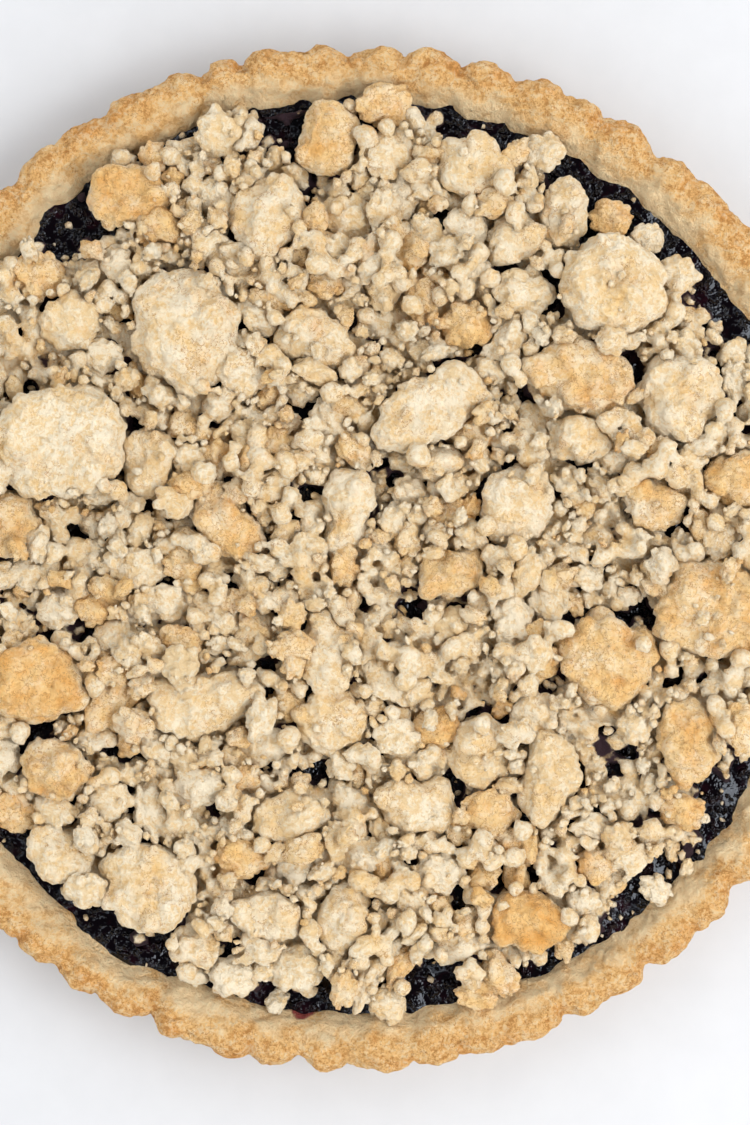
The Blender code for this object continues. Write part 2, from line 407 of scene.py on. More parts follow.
def makeFillingMaterial():
    look = fillingLook
    material, tree, shader, place = newMaterial(
        "dark cherry filling",
        Roughness=look["roughness"],
        IOR=look["refraction"],
        Specular_IOR_Level=look["shine"],
        Specular_Tint=look["shineTint"],
    )
    pulp = noiseOf(tree, place, 400.0, 2.0, 0.55)
    thin = addRange(tree, noiseOf(tree, place, 140.0, 3.0, 0.6), 0.50, 0.74)
    base = addMix(tree, thin, look["deep"], look["thin"])
    tree.links.new(base, shader.inputs["Base Color"])
    tree.links.new(addRange(tree, pulp, 0.35, 0.65, 0.06, 0.13), shader.inputs["Roughness"])
    wrinkle = noiseOf(tree, place, 900.0, 1.0, 0.5)
    raised = addRange(tree, addMath(tree, "MULTIPLY_ADD", wrinkle, 0.25, pulp), 0.62, 0.86)
    height = addMath(tree, "MULTIPLY_ADD", raised, 0.8, addMath(tree, "MULTIPLY", pulp, 0.25))
    addBump(tree, shader, look, height)
    return material


crumbleMaterial = makeCrumbleMaterial()
crustMaterial = makeCrustMaterial()
fillingMaterial = makeFillingMaterial()


crustLow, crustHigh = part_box("crust")
shell = {
    "rimRadius": (crustHigh.x - crustLow.x) / 2 / mm + 0.3,
    "rimHeight": 25.4,
    "fillingLevel": 18.5,
    "flutes": 60,
    "columnsPerFlute": 16,
    "fluteDepth": 2.9,
    "fluteWander": 0.30,  # how far the notches stray, in flutes
    "innerWander": 2.4,  # how unevenly the inside was pressed
    "creases": 32,
    "creaseDepth": 1.1,
    "jamStains": ((-57, -107, 3.5), (-14, -124, 3.0), (-12, -119, 2.5)),  # x, y, size
}

# One cut through the shell: inset from the crests, height, how much of the flute shows, steps to the next
shellSection = (
    (9.0, 0.0, 1.0, 2),
    (6.7, 0.5, 1.0, 3),
    (5.8, 2.6, 1.0, 9),
    (3.3, 12.0, 1.0, 9),
    (0.5, 20.0, 1.0, 7),
    (1.5, 23.5, 0.75, 8),
    (5.2, 25.4, 0.48, 8),
    (10.4, 24.0, 0.18, 7),
    (14.2, 20.2, 0.0, 5),
    (16.6, 16.5, 0.0, 2),
    (20.0, 6.0, 0.0, 1),
)


def catmull(controls, at):
    # a smooth curve through control columns, read at fractional places
    last = len(controls) - 1
    first = np.clip(np.floor(at).astype(int), 0, last - 1)
    part = (at - first)[:, None]
    before = controls[np.clip(first - 1, 0, last)]
    start = controls[first]
    end = controls[first + 1]
    after = controls[np.clip(first + 2, 0, last)]
    tangentStart = (end - before) / 2
    tangentEnd = (after - start) / 2
    return (
        start * (2 * part**3 - 3 * part**2 + 1)
        + tangentStart * (part**3 - 2 * part**2 + part)
        + end * (3 * part**2 - 2 * part**3)
        + tangentEnd * (part**3 - part**2)
    )


def sectionSteps():
    places = []
    for index, row in enumerate(shellSection[:-1]):
        places += [index + step / row[3] for step in range(row[3])]
    return np.array(places + [len(shellSection) - 1.0])


def aroundNoise(angle, size, seed):
    # noise along the rim, which meets itself after a full turn
    radius = 130.0
    ring = np.stack([radius * np.cos(angle), radius * np.sin(angle), np.zeros_like(angle)], axis=-1)
    return softNoise(ring, size, seed)


def innerOffset(angle):
    # how far the inside of the shell is pushed inwards or outwards
    return shell["innerWander"] * (0.75 * aroundNoise(angle, 26, 3) + 0.45 * aroundNoise(angle, 9, 4))


def makeShell():
    columns = shell["flutes"] * shell["columnsPerFlute"]
    curve = catmull(np.array([row[:3] for row in shellSection], float), sectionSteps())
    rows = len(curve)
    angle = np.arange(columns) * math.tau / columns
    flutePlace = angle / math.tau * shell["flutes"] + shell["fluteWander"] * aroundNoise(angle, 18, 7)
    groove = 1 - np.abs(np.sin(math.pi * flutePlace)) ** 1.3
    uneven = np.random.default_rng(5).uniform(0.2, 1.25, shell["flutes"])
    groove *= shell["fluteDepth"] * uneven[np.rint(flutePlace).astype(int) % shell["flutes"]]
    inwardShare = smoothStep(7.0, 14.0, curve[:, 0]) * (curve[:, 1] > 4)
    radius = (
        shell["rimRadius"]
        - curve[None, :, 0]
        - groove[:, None] * curve[None, :, 2]
        + innerOffset(angle)[:, None] * inwardShare[None, :]
    )
    rise = smoothStep(8.0, 24.0, curve[:, 1])
    crownWander = 0.9 * aroundNoise(angle, 34, 21) + 0.4 * aroundNoise(angle, 12, 22)
    height = curve[None, :, 1] + (crownWander[:, None] - 0.7 * groove[:, None]) * rise[None, :]
    grid = np.stack(
        [radius * np.cos(angle)[:, None], radius * np.sin(angle)[:, None], height],
        axis=-1,
    )
    points = grid.reshape(-1, 3)
    normals = ringNormals(grid).reshape(-1, 3)
    upper = np.tile(smoothStep(1.0, 8.0, curve[:, 1]), columns)
    topShare = np.tile(smoothStep(17.0, 24.0, curve[:, 1]) * (curve[:, 0] < 16), columns)
    bumps = (
        0.90 * softNoise(points, 8.0, 31)
        + 0.85 * softNoise(points, 4.0, 32)
        + 0.75 * softNoise(points, 2.1, 33)
    )
    bumps *= upper * (0.3 + 0.7 * topShare)
    crease = creaseDepth(points, angle, rows, flutePlace) * topShare
    cracks = 0.7 * crackLines(points, 7.0, 35) * topShare
    sunken = np.minimum(bumps, 0.8) - crease - cracks
    points = points + normals * sunken[:, None]
    points[:, 2] = np.maximum(points[:, 2], 0.0)
    middles = np.array([[0, 0, 0.0], [0, 0, 6.0]])
    faces = ringFaces(columns, rows, columns * rows, columns * rows + 1)
    piece = addPiece("shortcrust_shell", np.vstack([points, middles]), faces, crustMaterial)
    paintShell(piece, points, np.tile(curve[:, 0], columns), crease)
    return piece, points


def creaseDepth(points, angle, rows, flutePlace):
    # short cracks that run inwards from some of the notches between flutes
    chooser = random.Random(8)
    radius = np.hypot(points[:, 0], points[:, 1])
    turn = np.repeat(angle, rows)
    depth = np.zeros(len(points))
    notches = chooser.sample(range(shell["flutes"]), shell["creases"])
    longOne = round((360 - 92) / 360 * shell["flutes"])
    for notch in sorted(set(notches + [longOne])):
        where = np.interp(notch, flutePlace, angle)
        reach = chooser.uniform(4, 10) if notch != longOne else 17
        strength = chooser.uniform(0.5, 1.0)
        lean = chooser.uniform(-0.25, 0.25)
        inwards = shell["rimRadius"] - radius
        wiggle = 0.5 * np.sin(inwards * 0.9 + notch) + lean * inwards
        away = (turn - where + math.pi) % math.tau - math.pi
        sideways = away * radius - wiggle
        line = np.exp(-((sideways / 0.75) ** 2))
        fade = smoothStep(reach, reach - 3.5, inwards)
        depth = np.maximum(depth, line * fade * strength)
    return depth * shell["creaseDepth"]


def paintShell(piece, points, inset, crease):
    # browner on the outer edge and the side, paler down the inside, with jam smears where it boiled over
    outer = smoothStep(13.0, 4.0, inset)
    side = smoothStep(20.0, 12.0, points[:, 2]) * (inset < 8)
    patchy = 0.24 * softNoise(points, 12, 41) + 0.28 * softNoise(points, 4.5, 42)
    brown = 0.14 + 0.60 * outer - 0.12 * side + patchy + 0.35 * crease
    stain = np.zeros(len(points))
    for x, y, size in shell["jamStains"]:
        stain += np.exp(-((points[:, 0] - x) ** 2 + (points[:, 1] - y) ** 2) / size**2)
    low = smoothStep(20.5, 18.3, points[:, 2]) * (inset > 12)
    stain = np.clip(stain + 0.45 * low, 0, 1)
    middle = [0.3, 0.3]
    paint(piece, "brown", np.concatenate([np.clip(brown, 0, 1), middle]))
    paint(piece, "stain", np.concatenate([stain, [0, 0]]))


crustPiece, crustPoints = makeShell()
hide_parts("crust")
report("shell made")


filling = {
    "radius": 127.0,
    "underside": 8.0,
    "columns": 540,
    "fineRings": 34,
    "coarseRings": 24,
    "fineFrom": 90.0,  # fine rings outside this radius, coarse ones inside
}


def fillingHeight(x, y):
    # soft mounds where cherries lie just under the surface
    plan = onFloor(x, y)
    mounds = 1.0 * np.abs(softNoise(plan, 9.0, 51)) + 0.4 * np.abs(softNoise(plan, 4.2, 52))
    fine = 0.10 * softNoise(plan, 2.0, 53)
    return (shell["fillingLevel"] - 0.7 + mounds + fine).reshape(np.shape(x))


def discPlan(columns, radii):
    # x and y of rings of points, one column for each direction
    angle = np.arange(columns) * math.tau / columns
    return radii[None, :] * np.cos(angle)[:, None], radii[None, :] * np.sin(angle)[:, None]


def makeFilling():
    outer = np.linspace(filling["radius"], filling["fineFrom"], filling["fineRings"], endpoint=False)
    inner = np.linspace(filling["fineFrom"], 0, filling["coarseRings"], endpoint=False)
    x, y = discPlan(filling["columns"], np.concatenate([outer, inner]))
    top = np.stack([x, y, fillingHeight(x, y)], axis=-1)
    edge = top[:, :1].copy()
    edge[:, :, 2] = filling["underside"]
    edge[:, :, :2] *= 0.97
    grid = np.concatenate([edge, top], axis=1)
    rows = grid.shape[1]
    centre = float(fillingHeight(np.zeros(1), np.zeros(1))[0])
    points = np.vstack([grid.reshape(-1, 3), [[0, 0, filling["underside"]], [0, 0, centre]]])
    faces = ringFaces(filling["columns"], rows, len(points) - 2, len(points) - 1)
    return addPiece("cherry_filling", points, faces, fillingMaterial)


fillingPiece = makeFilling()
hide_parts("filling")
report("filling made")


# Bare patches: middle x, y, half length, half width, turn in degrees
barePatches = (
    (-76, 89, 17, 8, 25),
    (-14, 114, 15, 7, -5),
    (33, 115, 14, 6, -15),
    (98, -68, 12, 6, 100),
    (79, -91, 17, 6, 52),
    (54, -110, 9, 5, 25),
    (41, -116, 5, 3, 10),
    (20, -117, 15, 6, 8),
    (-9, -117, 6, 9, 0),
    (-24, -116, 5, 4, 0),
    (-72, 8, 8, 5, 0),
    (-58, 37, 3, 4, 0),
    (-64, 68, 3, 5, 0),
    (-13, 41, 6, 4, 0),
    (5, 57, 3, 3, 0),
    (53, 72, 4, 9, 0),
    (75, 53, 3, 3, 0),
    (69, -16, 14, 2, -10),
    (88, -31, 6, 5, 0),
    (-72, -20, 5, 4, 0),
    (-59, -25, 4, 4, 0),
    (-88, -12, 3, 3, 0),
    (-62, -53, 8, 3, -20),
    (-37, -66, 3, 4, 0),
    (2, -57, 3, 5, 0),
    (28, -63, 2, 4, 0),
    (44, -48, 2, 4, 0),
    (46, -73, 3, 5, 0),
    (45, -86, 6, 4, 0),
    (67, -67, 2, 6, 0),
    (103, 38, 4, 6, 0),
)

# Bare bands along the rim: from and to in degrees, width
bareBands = ((28, 64, 10), (212, 247, 9), (-36, -12, 4), (60, 82, 4), (252, 300, 4))


def crumbleCover(x, y):
    # 1 where crumbs lie thick, 0 on bare filling
    x, y = np.asarray(x, float), np.asarray(y, float)
    plan = onFloor(x, y)
    ragged = (0.22 * softNoise(plan, 8, 61) + 0.16 * softNoise(plan, 3.5, 62)).reshape(x.shape)
    cover = np.ones_like(x)
    for middleX, middleY, length, width, turn in barePatches:
        cosine, sine = math.cos(math.radians(turn)), math.sin(math.radians(turn))
        along = ((x - middleX) * cosine + (y - middleY) * sine) / length
        across = ((y - middleY) * cosine - (x - middleX) * sine) / width
        cover = np.minimum(cover, smoothStep(0.70, 1.20, np.hypot(along, across) + ragged))
    radius = np.hypot(x, y)
    angle = np.degrees(np.arctan2(y, x))
    edge = 124.0 + innerOffset(np.radians(angle).ravel()).reshape(x.shape)
    width = np.full_like(x, 1.0)
    for start, end, band in bareBands:
        middle, half = (start + end) / 2, (end - start) / 2
        away = np.abs((angle - middle + 180) % 360 - 180)
        width = np.maximum(width, band * smoothStep(half + 5, half - 5, away))
    gaps = (softNoise(plan, 11.0, 64) + 0.5 * softNoise(plan, 4.0, 65)).reshape(x.shape)
    cover = np.minimum(cover, smoothStep(-0.54, -0.34, gaps))
    inwards = (edge - radius) / np.maximum(width, 0.5)
    return np.minimum(cover, smoothStep(0.8, 1.4, inwards + ragged * 1.5))


heap = {
    "reach": 132.0,  # half the side of the height map
    "cell": 0.5,
    "highest": 38.0,
    "under": 2.4,  # how far its foot goes into the filling
    "thickness": 3.2,
    "radius": 122.5,
    "columns": 620,
    "rings": 110,
    "foot": 12.0,
    "centreRise": 3.0,
    "soakAndShadeTo": 22.1,  # up to this height it is painted dark: filling soaked in, and painted shade in the deep gaps between crumbs
}
cells = int(2 * heap["reach"] / heap["cell"]) + 1
axis = np.linspace(-heap["reach"], heap["reach"], cells)
gridX, gridY = np.meshgrid(axis, axis, indexing="ij")
coverMap = crumbleCover(gridX, gridY)


def coreHeight(x, y, cover):
    # the heap under the loose crumbs; it has holes, through which filling shows
    plan = onFloor(x, y)
    cobbles = 1.7 * np.abs(softNoise(plan, 3.6, 66)) + 0.9 * np.abs(softNoise(plan, 1.9, 67)) - 0.75
    thickness = heap["thickness"] + (1.1 * softNoise(plan, 12, 63) + cobbles).reshape(x.shape)
    lowest = shell["fillingLevel"] - heap["under"]
    return lowest + (heap["under"] + thickness) * smoothStep(0.35, 0.75, cover)


fillingMap = fillingHeight(gridX, gridY)
baseSurface = np.maximum(fillingMap, coreHeight(gridX, gridY, coverMap))
surface = baseSurface.copy()


def toCell(value):
    return np.clip(np.rint((value + heap["reach"]) / heap["cell"]).astype(int), 0, cells - 1)


def stampPoints(points):
    # raises the map to a dense cloud of surface points
    column, row = toCell(points[:, 0]), toCell(points[:, 1])
    for stepX in (-1, 0, 1):
        for stepY in (-1, 0, 1):
            spot = (np.clip(column + stepX, 0, cells - 1), np.clip(row + stepY, 0, cells - 1))
            np.maximum.at(surface, spot, points[:, 2])


inside = crustPoints[(crustPoints[:, 2] > 15) & (np.hypot(crustPoints[:, 0], crustPoints[:, 1]) < 131)]
stampPoints(inside)

footprints = {}
lumpMask = np.zeros((cells, cells), bool)  # where a lump or clod stands proud


def footprint(halfLength, halfWidth, turn):
    # cells under an ellipse, with how far its round underside has risen at each
    key = (round(halfLength * 2), round(halfWidth * 2), round(turn * 4))
    if key not in footprints:
        reach = int(math.ceil(max(halfLength, halfWidth) / heap["cell"]))
        steps = np.arange(-reach, reach + 1)
        stepX, stepY = np.meshgrid(steps, steps, indexing="ij")
        x, y = stepX * heap["cell"], stepY * heap["cell"]
        along = (x * math.cos(turn) + y * math.sin(turn)) / halfLength
        across = (y * math.cos(turn) - x * math.sin(turn)) / halfWidth
        away = np.hypot(along, across)
        keep = away < 0.93
        footprints[key] = (stepX[keep], stepY[keep], np.sqrt(1 - away[keep] ** 2))
    return footprints[key]


def restHeight(x, y, size, turn, sink):
    # the middle height at which a crumb comes to rest; sink is the share of its footprint that presses in
    stepX, stepY, dome = footprint(size[0], size[1], turn)
    column, row = int(toCell(x)), int(toCell(y))
    spotX = np.clip(column + stepX, 0, cells - 1)
    spotY = np.clip(row + stepY, 0, cells - 1)
    contact = surface[spotX, spotY] + size[2] * dome
    place = int((1 - sink) * (len(contact) - 1))
    return float(np.partition(contact, place)[place]), spotX, spotY, dome


def dropCrumb(x, y, size, turn, sink, tries, wander, chooser, stay=1.0):
    # tries a few places close by, settles in the lowest, and raises the map; few stay on top of a lump
    best = None
    for attempt in range(tries):
        reach = 0 if attempt == 0 else wander
        tryX = x + chooser.uniform(-reach, reach)
        tryY = y + chooser.uniform(-reach, reach)
        rest = restHeight(tryX, tryY, size, turn, sink)
        if best is None or rest[0] < best[2][0]:
            best = (tryX, tryY, rest)
    x, y, (middle, spotX, spotY, dome) = best
    onLump = lumpMask[toCell(x), toCell(y)] and chooser.random() > stay
    if onLump or middle + size[2] > heap["highest"]:
        return None
    surface[spotX, spotY] = np.maximum(surface[spotX, spotY], middle + size[2] * dome)
    return x, y, middle


bigLumps = {
    "voxel": 0.78,
    "slimmer": 0.94,  # the lump before its knobs, against the CAD solid
    # smaller crumbs on it: how many for a square millimetre, smallest and largest radius
    "knobs": ((0.006, 3.2, 5.6), (0.016, 1.6, 3.2), (0.060, 0.8, 1.7)),
    "swell": ((11.0, 1.7), (5.0, 0.9)),  # soft unevenness: size and height
    "billow": ((5.5, 1.6), (2.6, 1.1)),  # rounded bumps with creases between them
    "grain": (1.2, 0.36),
    "toast": 0.32,  # for a lump that isn't named below
    "soakAndShadeTo": 20.0,
}

# How strongly the oven coloured a lump, from 0 to 1
toastedLumps = {
    "lump_04": 0.62,
    "lump_05": 0.55,
    "lump_07": 0.62,
    "lump_08": 0.78,
    "lump_12": 0.60,
    "lump_13": 0.55,
    "lump_14": 0.66,
    "lump_15": 0.72,
    "lump_18": 0.80,
    "lump_22": 0.60,
    "lump_29": 0.62,
    "lump_33": 0.62,
    "lump_36": 0.55,
    "lump_37": 0.58,
    "lump_02": 0.34,
    "lump_06": 0.30,
    "lump_10": 0.34,
    "lump_01": 0.30,
}


def cadCopy(node):
    # a welded copy of a CAD node, in millimetres
    mesh = bmesh.new()
    mesh.from_mesh(frame["nodes"][node].data)
    bmesh.ops.scale(mesh, vec=(1 / mm,) * 3, verts=mesh.verts)
    bmesh.ops.remove_doubles(mesh, verts=mesh.verts, dist=0.01)
    mesh.normal_update()
    return mesh


def addKnobs(mesh, chooser):
    # smaller crumbs grown onto the lump
    middle = sum((vert.co for vert in mesh.verts), Vector()) / len(mesh.verts)
    wide = max((vert.co - middle).xy.length for vert in mesh.verts)
    for _ in range(3):
        bmesh.ops.smooth_vert(mesh, verts=mesh.verts, factor=0.5, use_axis_x=True, use_axis_y=True)
    rounder = max((vert.co - middle).xy.length for vert in mesh.verts)
    for vert in mesh.verts:
        vert.co.xy = middle.xy.lerp(vert.co.xy, bigLumps["slimmer"] * wide / rounder)
    faces = list(mesh.faces)
    areas = [face.calc_area() * (1.5 - face.normal.z) for face in faces]
    for share, smallest, largest in bigLumps["knobs"]:
        for face in chooser.choices(faces, areas, k=int(sum(areas) * share)):
            corner = chooser.choice(face.verts).co
            spot = face.calc_center_median().lerp(corner, chooser.uniform(0, 0.8))
            size = chooser.uniform(smallest, largest)
            inwards = (middle - spot).normalized()
            place = Matrix.Translation(spot + inwards * size * chooser.uniform(0.3, 0.75))
            bmesh.ops.create_icosphere(mesh, subdivisions=2, radius=size, matrix=place)


def triangleCount(mesh):
    return sum(len(face.vertices) - 2 for face in mesh.polygons)


def modified(data, name, kind, **settings):
    # a new mesh: the given one after one modifier
    thing = newObject(name, data)
    modifier = thing.modifiers.new(name, kind)
    for label, value in settings.items():
        setattr(modifier, label, value)
    result = evaluatedMesh(thing, name)
    bpy.data.objects.remove(thing)
    bpy.data.meshes.remove(data)
    return result


def skinned(data, voxel, name):
    # one skin round everything in the mesh
    return modified(data, name, "REMESH", mode="VOXEL", voxel_size=voxel)


def softened(data, name, factor, rounds):
    return modified(data, name, "SMOOTH", factor=factor, iterations=rounds)


def thinned(data, triangles, name):
    return modified(data, name, "DECIMATE", ratio=min(1, triangles / triangleCount(data)))


def meshPoints(mesh):
    points = np.empty(len(mesh.vertices) * 3)
    mesh.vertices.foreach_get("co", points)
    return points.reshape(-1, 3)


def meshNormals(mesh):
    normals = np.empty(len(mesh.vertices) * 3)
    mesh.vertices.foreach_get("normal", normals)
    return normals.reshape(-1, 3)


def meshFaces(mesh):
    return [tuple(face.vertices) for face in mesh.polygons]


def sandyOffset(points, swell, billow, grain, seed):
    # how far each point moves out, for a surface of small crumbs baked together
    offset = np.zeros(len(points))
    for step, (size, height) in enumerate(swell):
        offset += height * softNoise(points, size, seed + step)
    patches = 0.35 + 0.65 * smoothStep(-0.35, 0.35, softNoise(points, 9.0, seed + 4))
    for step, (size, height) in enumerate(billow):
        offset += patches * height * (np.abs(softNoise(points, size, seed + 5 + step)) - 0.28)
    return offset + grain[1] * softNoise(points, grain[0], seed + 8)


def jamStain(height):
    # crumbs near the filling take a little of its colour
    return 0.62 * smoothStep(24.0, 19.0, height)


def soakAndGapShade(height, soakAndShadeTo):
    # below the given height they are painted dark with the filling's colour: filling drunk in, and painted
    # shade in the deep gaps between crumbs
    return 0.806 * smoothStep(soakAndShadeTo, soakAndShadeTo - 1.6, height)


def paintCrumble(piece, toast, tone, stain):
    paint(piece, "toast", toast)
    paint(piece, "tone", tone)
    paint(piece, "stain", stain)


def makeBigLump(node):
    chooser = random.Random(node)
    mesh = cadCopy(node)
    addKnobs(mesh, chooser)
    name = node.replace("lump", "crumble_lump")
    skin = softened(skinned(meshData(name, mesh), bigLumps["voxel"], name), name, 0.4, 2)
    points, normals = meshPoints(skin), meshNormals(skin)
    offset = sandyOffset(points, bigLumps["swell"], bigLumps["billow"], bigLumps["grain"], 71)
    points = points + normals * offset[:, None]
    points[:, 2] = np.minimum(points[:, 2], heap["highest"] + 0.8)
    piece = addPiece(name, points, meshFaces(skin), crumbleMaterial)
    bpy.data.meshes.remove(skin)
    toasted = toastedLumps.get(node, bigLumps["toast"])
    upwards = smoothStep(-0.2, 0.9, normals[:, 2])
    toast = toasted * (0.5 + 0.5 * upwards) + 0.20 * softNoise(points, 9, 75)
    tone = chooser.uniform(-0.04, 0.04) + 0.06 * softNoise(points, 6, 76)
    # the lump's lowest parts are painted dark: jam soaked in, and painted shade under the lump
    stain = jamStain(points[:, 2]) + soakAndGapShade(points[:, 2], bigLumps["soakAndShadeTo"])
    paintCrumble(piece, toast, tone, stain)
    stampPoints(points)
    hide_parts(node)
    return piece


lumpNodes = sorted(node for node in frame["nodes"] if node.startswith("lump"))
lumpPieces = [makeBigLump(node) for node in lumpNodes]
report(f"{len(lumpPieces)} big lumps, {sum(triangleCount(piece.data) for piece in lumpPieces)} triangles")


def clusterCrumb(name, seed, blobs, triangles, rough):
    # small crumbs stuck together round a core, thinned to so many triangles, fitted to a box of side 2
    chooser = random.Random(seed)
    mesh = bmesh.new()
    bmesh.ops.create_icosphere(mesh, subdivisions=3, radius=0.67)
    for _ in range(blobs):
        size = chooser.uniform(0.16, 0.42)
        away = Vector([chooser.gauss(0, 1) for _ in range(3)]).normalized() * (0.92 - size)
        bmesh.ops.create_icosphere(mesh, subdivisions=2, radius=size, matrix=Matrix.Translation(away))
    skin = softened(skinned(meshData(name, mesh), 0.07, name), name, 0.3, 1)
    points, normals = meshPoints(skin), meshNormals(skin)
    offset = 0.10 * softNoise(points, 0.8, seed) + rough * softNoise(points, 0.3, seed + 1)
    offset += rough * (np.abs(softNoise(points, 0.5, seed + 2)) - 0.3)
    skin.vertices.foreach_set("co", (points + normals * offset[:, None]).ravel())
    skin = thinned(skin, triangles, name)
    return fitted(newObject(name, skin))


def grainShape(name, seed, corners):
    # a sharp little grain
    chooser = random.Random(seed)
    mesh = bmesh.new()
    for _ in range(corners):
        mesh.verts.new(Vector([chooser.gauss(0, 1) for _ in range(3)]).normalized())
    hull = bmesh.ops.convex_hull(mesh, input=mesh.verts)
    loose = [part for part in hull["geom_unused"] if isinstance(part, bmesh.types.BMVert)]
    bmesh.ops.delete(mesh, geom=loose, context="VERTS")
    bmesh.ops.recalc_face_normals(mesh, faces=mesh.faces)
    return fitted(newObject(name, meshData(name, mesh)))


def fitted(thing):
    points = meshPoints(thing.data)
    low, high = points.min(axis=0), points.max(axis=0)
    points = (points - (low + high) / 2) / ((high - low) / 2)
    thing.data.vertices.foreach_set("co", points.ravel())
    thing.data.shade_smooth()
    return thing


crumbKinds = {
    "clod": [clusterCrumb(f"clodShape{n:02d}", 200 + n, 30, 1600, 0.12) for n in range(14)],
    "clump": [clusterCrumb(f"clumpShape{n:02d}", 600 + n, 18, 640, 0.12) for n in range(16)],
    "nugget": [clusterCrumb(f"nuggetShape{n:02d}", 300 + n, 10, 260, 0.12) for n in range(16)],
    "bit": [clusterCrumb(f"bitShape{n:02d}", 400 + n, 5, 60, 0.10) for n in range(14)],
    "grain": [grainShape(f"grainShape{n:02d}", 500 + n, 12) for n in range(10)],
}
for kind, shapes in crumbKinds.items():
    sizes = [triangleCount(shape.data) for shape in shapes]
    report(f"{kind} shapes have {min(sizes)} to {max(sizes)} triangles")


def makeScatterTree(name, shapes):
    # sets a crumb on every point, turned, sized and shaped as the point says
    holder = bpy.data.collections.new(name + "Shapes")
    for shape in shapes:
        scene.collection.objects.unlink(shape)
        holder.objects.link(shape)
    tree = bpy.data.node_groups.new(name, "GeometryNodeTree")
    sockets = {"Geometry": "Geometry", "Shapes": "Collection", "Size factor": "Float", "Finish": "Material"}
    for label, kind in sockets.items():
        tree.interface.new_socket(label, in_out="INPUT", socket_type="NodeSocket" + kind)
    tree.interface.new_socket("Geometry", in_out="OUTPUT", socket_type="NodeSocketGeometry")
    given, result = tree.nodes.new("NodeGroupInput"), tree.nodes.new("NodeGroupOutput")
    chosen = addNode(
        tree,
        "GeometryNodeCollectionInfo",
        {"Collection": given.outputs["Shapes"], "Separate Children": True, "Reset Children": True},
    )
    values = {}
    for label, kind in (("turn", "FLOAT_VECTOR"), ("size", "FLOAT_VECTOR"), ("shape", "INT")):
        node = addNode(tree, "GeometryNodeInputNamedAttribute", {"Name": label}, data_type=kind)
        values[label] = node.outputs["Attribute"]
    scaling = {0: values["size"], "Scale": given.outputs["Size factor"]}
    sized = addNode(tree, "ShaderNodeVectorMath", scaling, operation="SCALE")
    turned = addNode(tree, "FunctionNodeEulerToRotation", {0: values["turn"]})
    placed = addNode(
        tree,
        "GeometryNodeInstanceOnPoints",
        {
            "Points": given.outputs["Geometry"],
            "Instance": chosen.outputs[0],
            "Pick Instance": True,
            "Instance Index": values["shape"],
            "Rotation": turned.outputs[0],
            "Scale": sized.outputs[0],
        },
    )
    real = addNode(tree, "GeometryNodeRealizeInstances", {"Geometry": placed.outputs[0]})
    finish = {"Geometry": real.outputs[0], "Material": given.outputs["Finish"]}
    coated = addNode(tree, "GeometryNodeSetMaterial", finish)
    tree.links.new(coated.outputs[0], result.inputs["Geometry"])
    return tree, holder


def growCrumbs(name, crumbs, kind):
    # crumbs: dictionaries with place, size, turn, toast and tone
    tree, holder = makeScatterTree(name + "Scatter", crumbKinds[kind])
    mesh = bpy.data.meshes.new(name + "Points")
    mesh.from_pydata([tuple(part * mm for part in crumb["place"]) for crumb in crumbs], [], [])
    chooser = random.Random(name)
    for crumb in crumbs:
        crumb["shape"] = chooser.randrange(len(crumbKinds[kind]))
    kinds = {
        "turn": ("FLOAT_VECTOR", "vector"),
        "size": ("FLOAT_VECTOR", "vector"),
        "shape": ("INT", "value"),
        "toast": ("FLOAT", "value"),
        "tone": ("FLOAT", "value"),
    }
    for label, (dataType, field) in kinds.items():
        layer = mesh.attributes.new(label, dataType, "POINT")
        layer.data.foreach_set(field, np.array([crumb[label] for crumb in crumbs]).ravel())
    seeds = newObject(name + "Points", mesh)
    modifier = seeds.modifiers.new("scatter", "NODES")
    modifier.node_group = tree
    given = {"Shapes": holder, "Size factor": mm, "Finish": crumbleMaterial}
    for item in tree.interface.items_tree:
        if item.in_out == "INPUT" and item.name in given:
            modifier[item.identifier] = given[item.name]
    result = evaluatedMesh(seeds, name)
    bpy.data.objects.remove(seeds)
    for shape in list(holder.objects):
        bpy.data.objects.remove(shape)
    bpy.data.collections.remove(holder)
    for label in ("turn", "size", "shape"):
        if label in result.attributes:
            result.attributes.remove(result.attributes[label])
    result.shade_smooth()
    piece = newObject(name, result)
    height = meshPoints(result)[:, 2] / mm
    paint(piece, "stain", jamStain(height))
    report(f"{name}: {len(crumbs)} crumbs, {triangleCount(result)} triangles")
    return piece


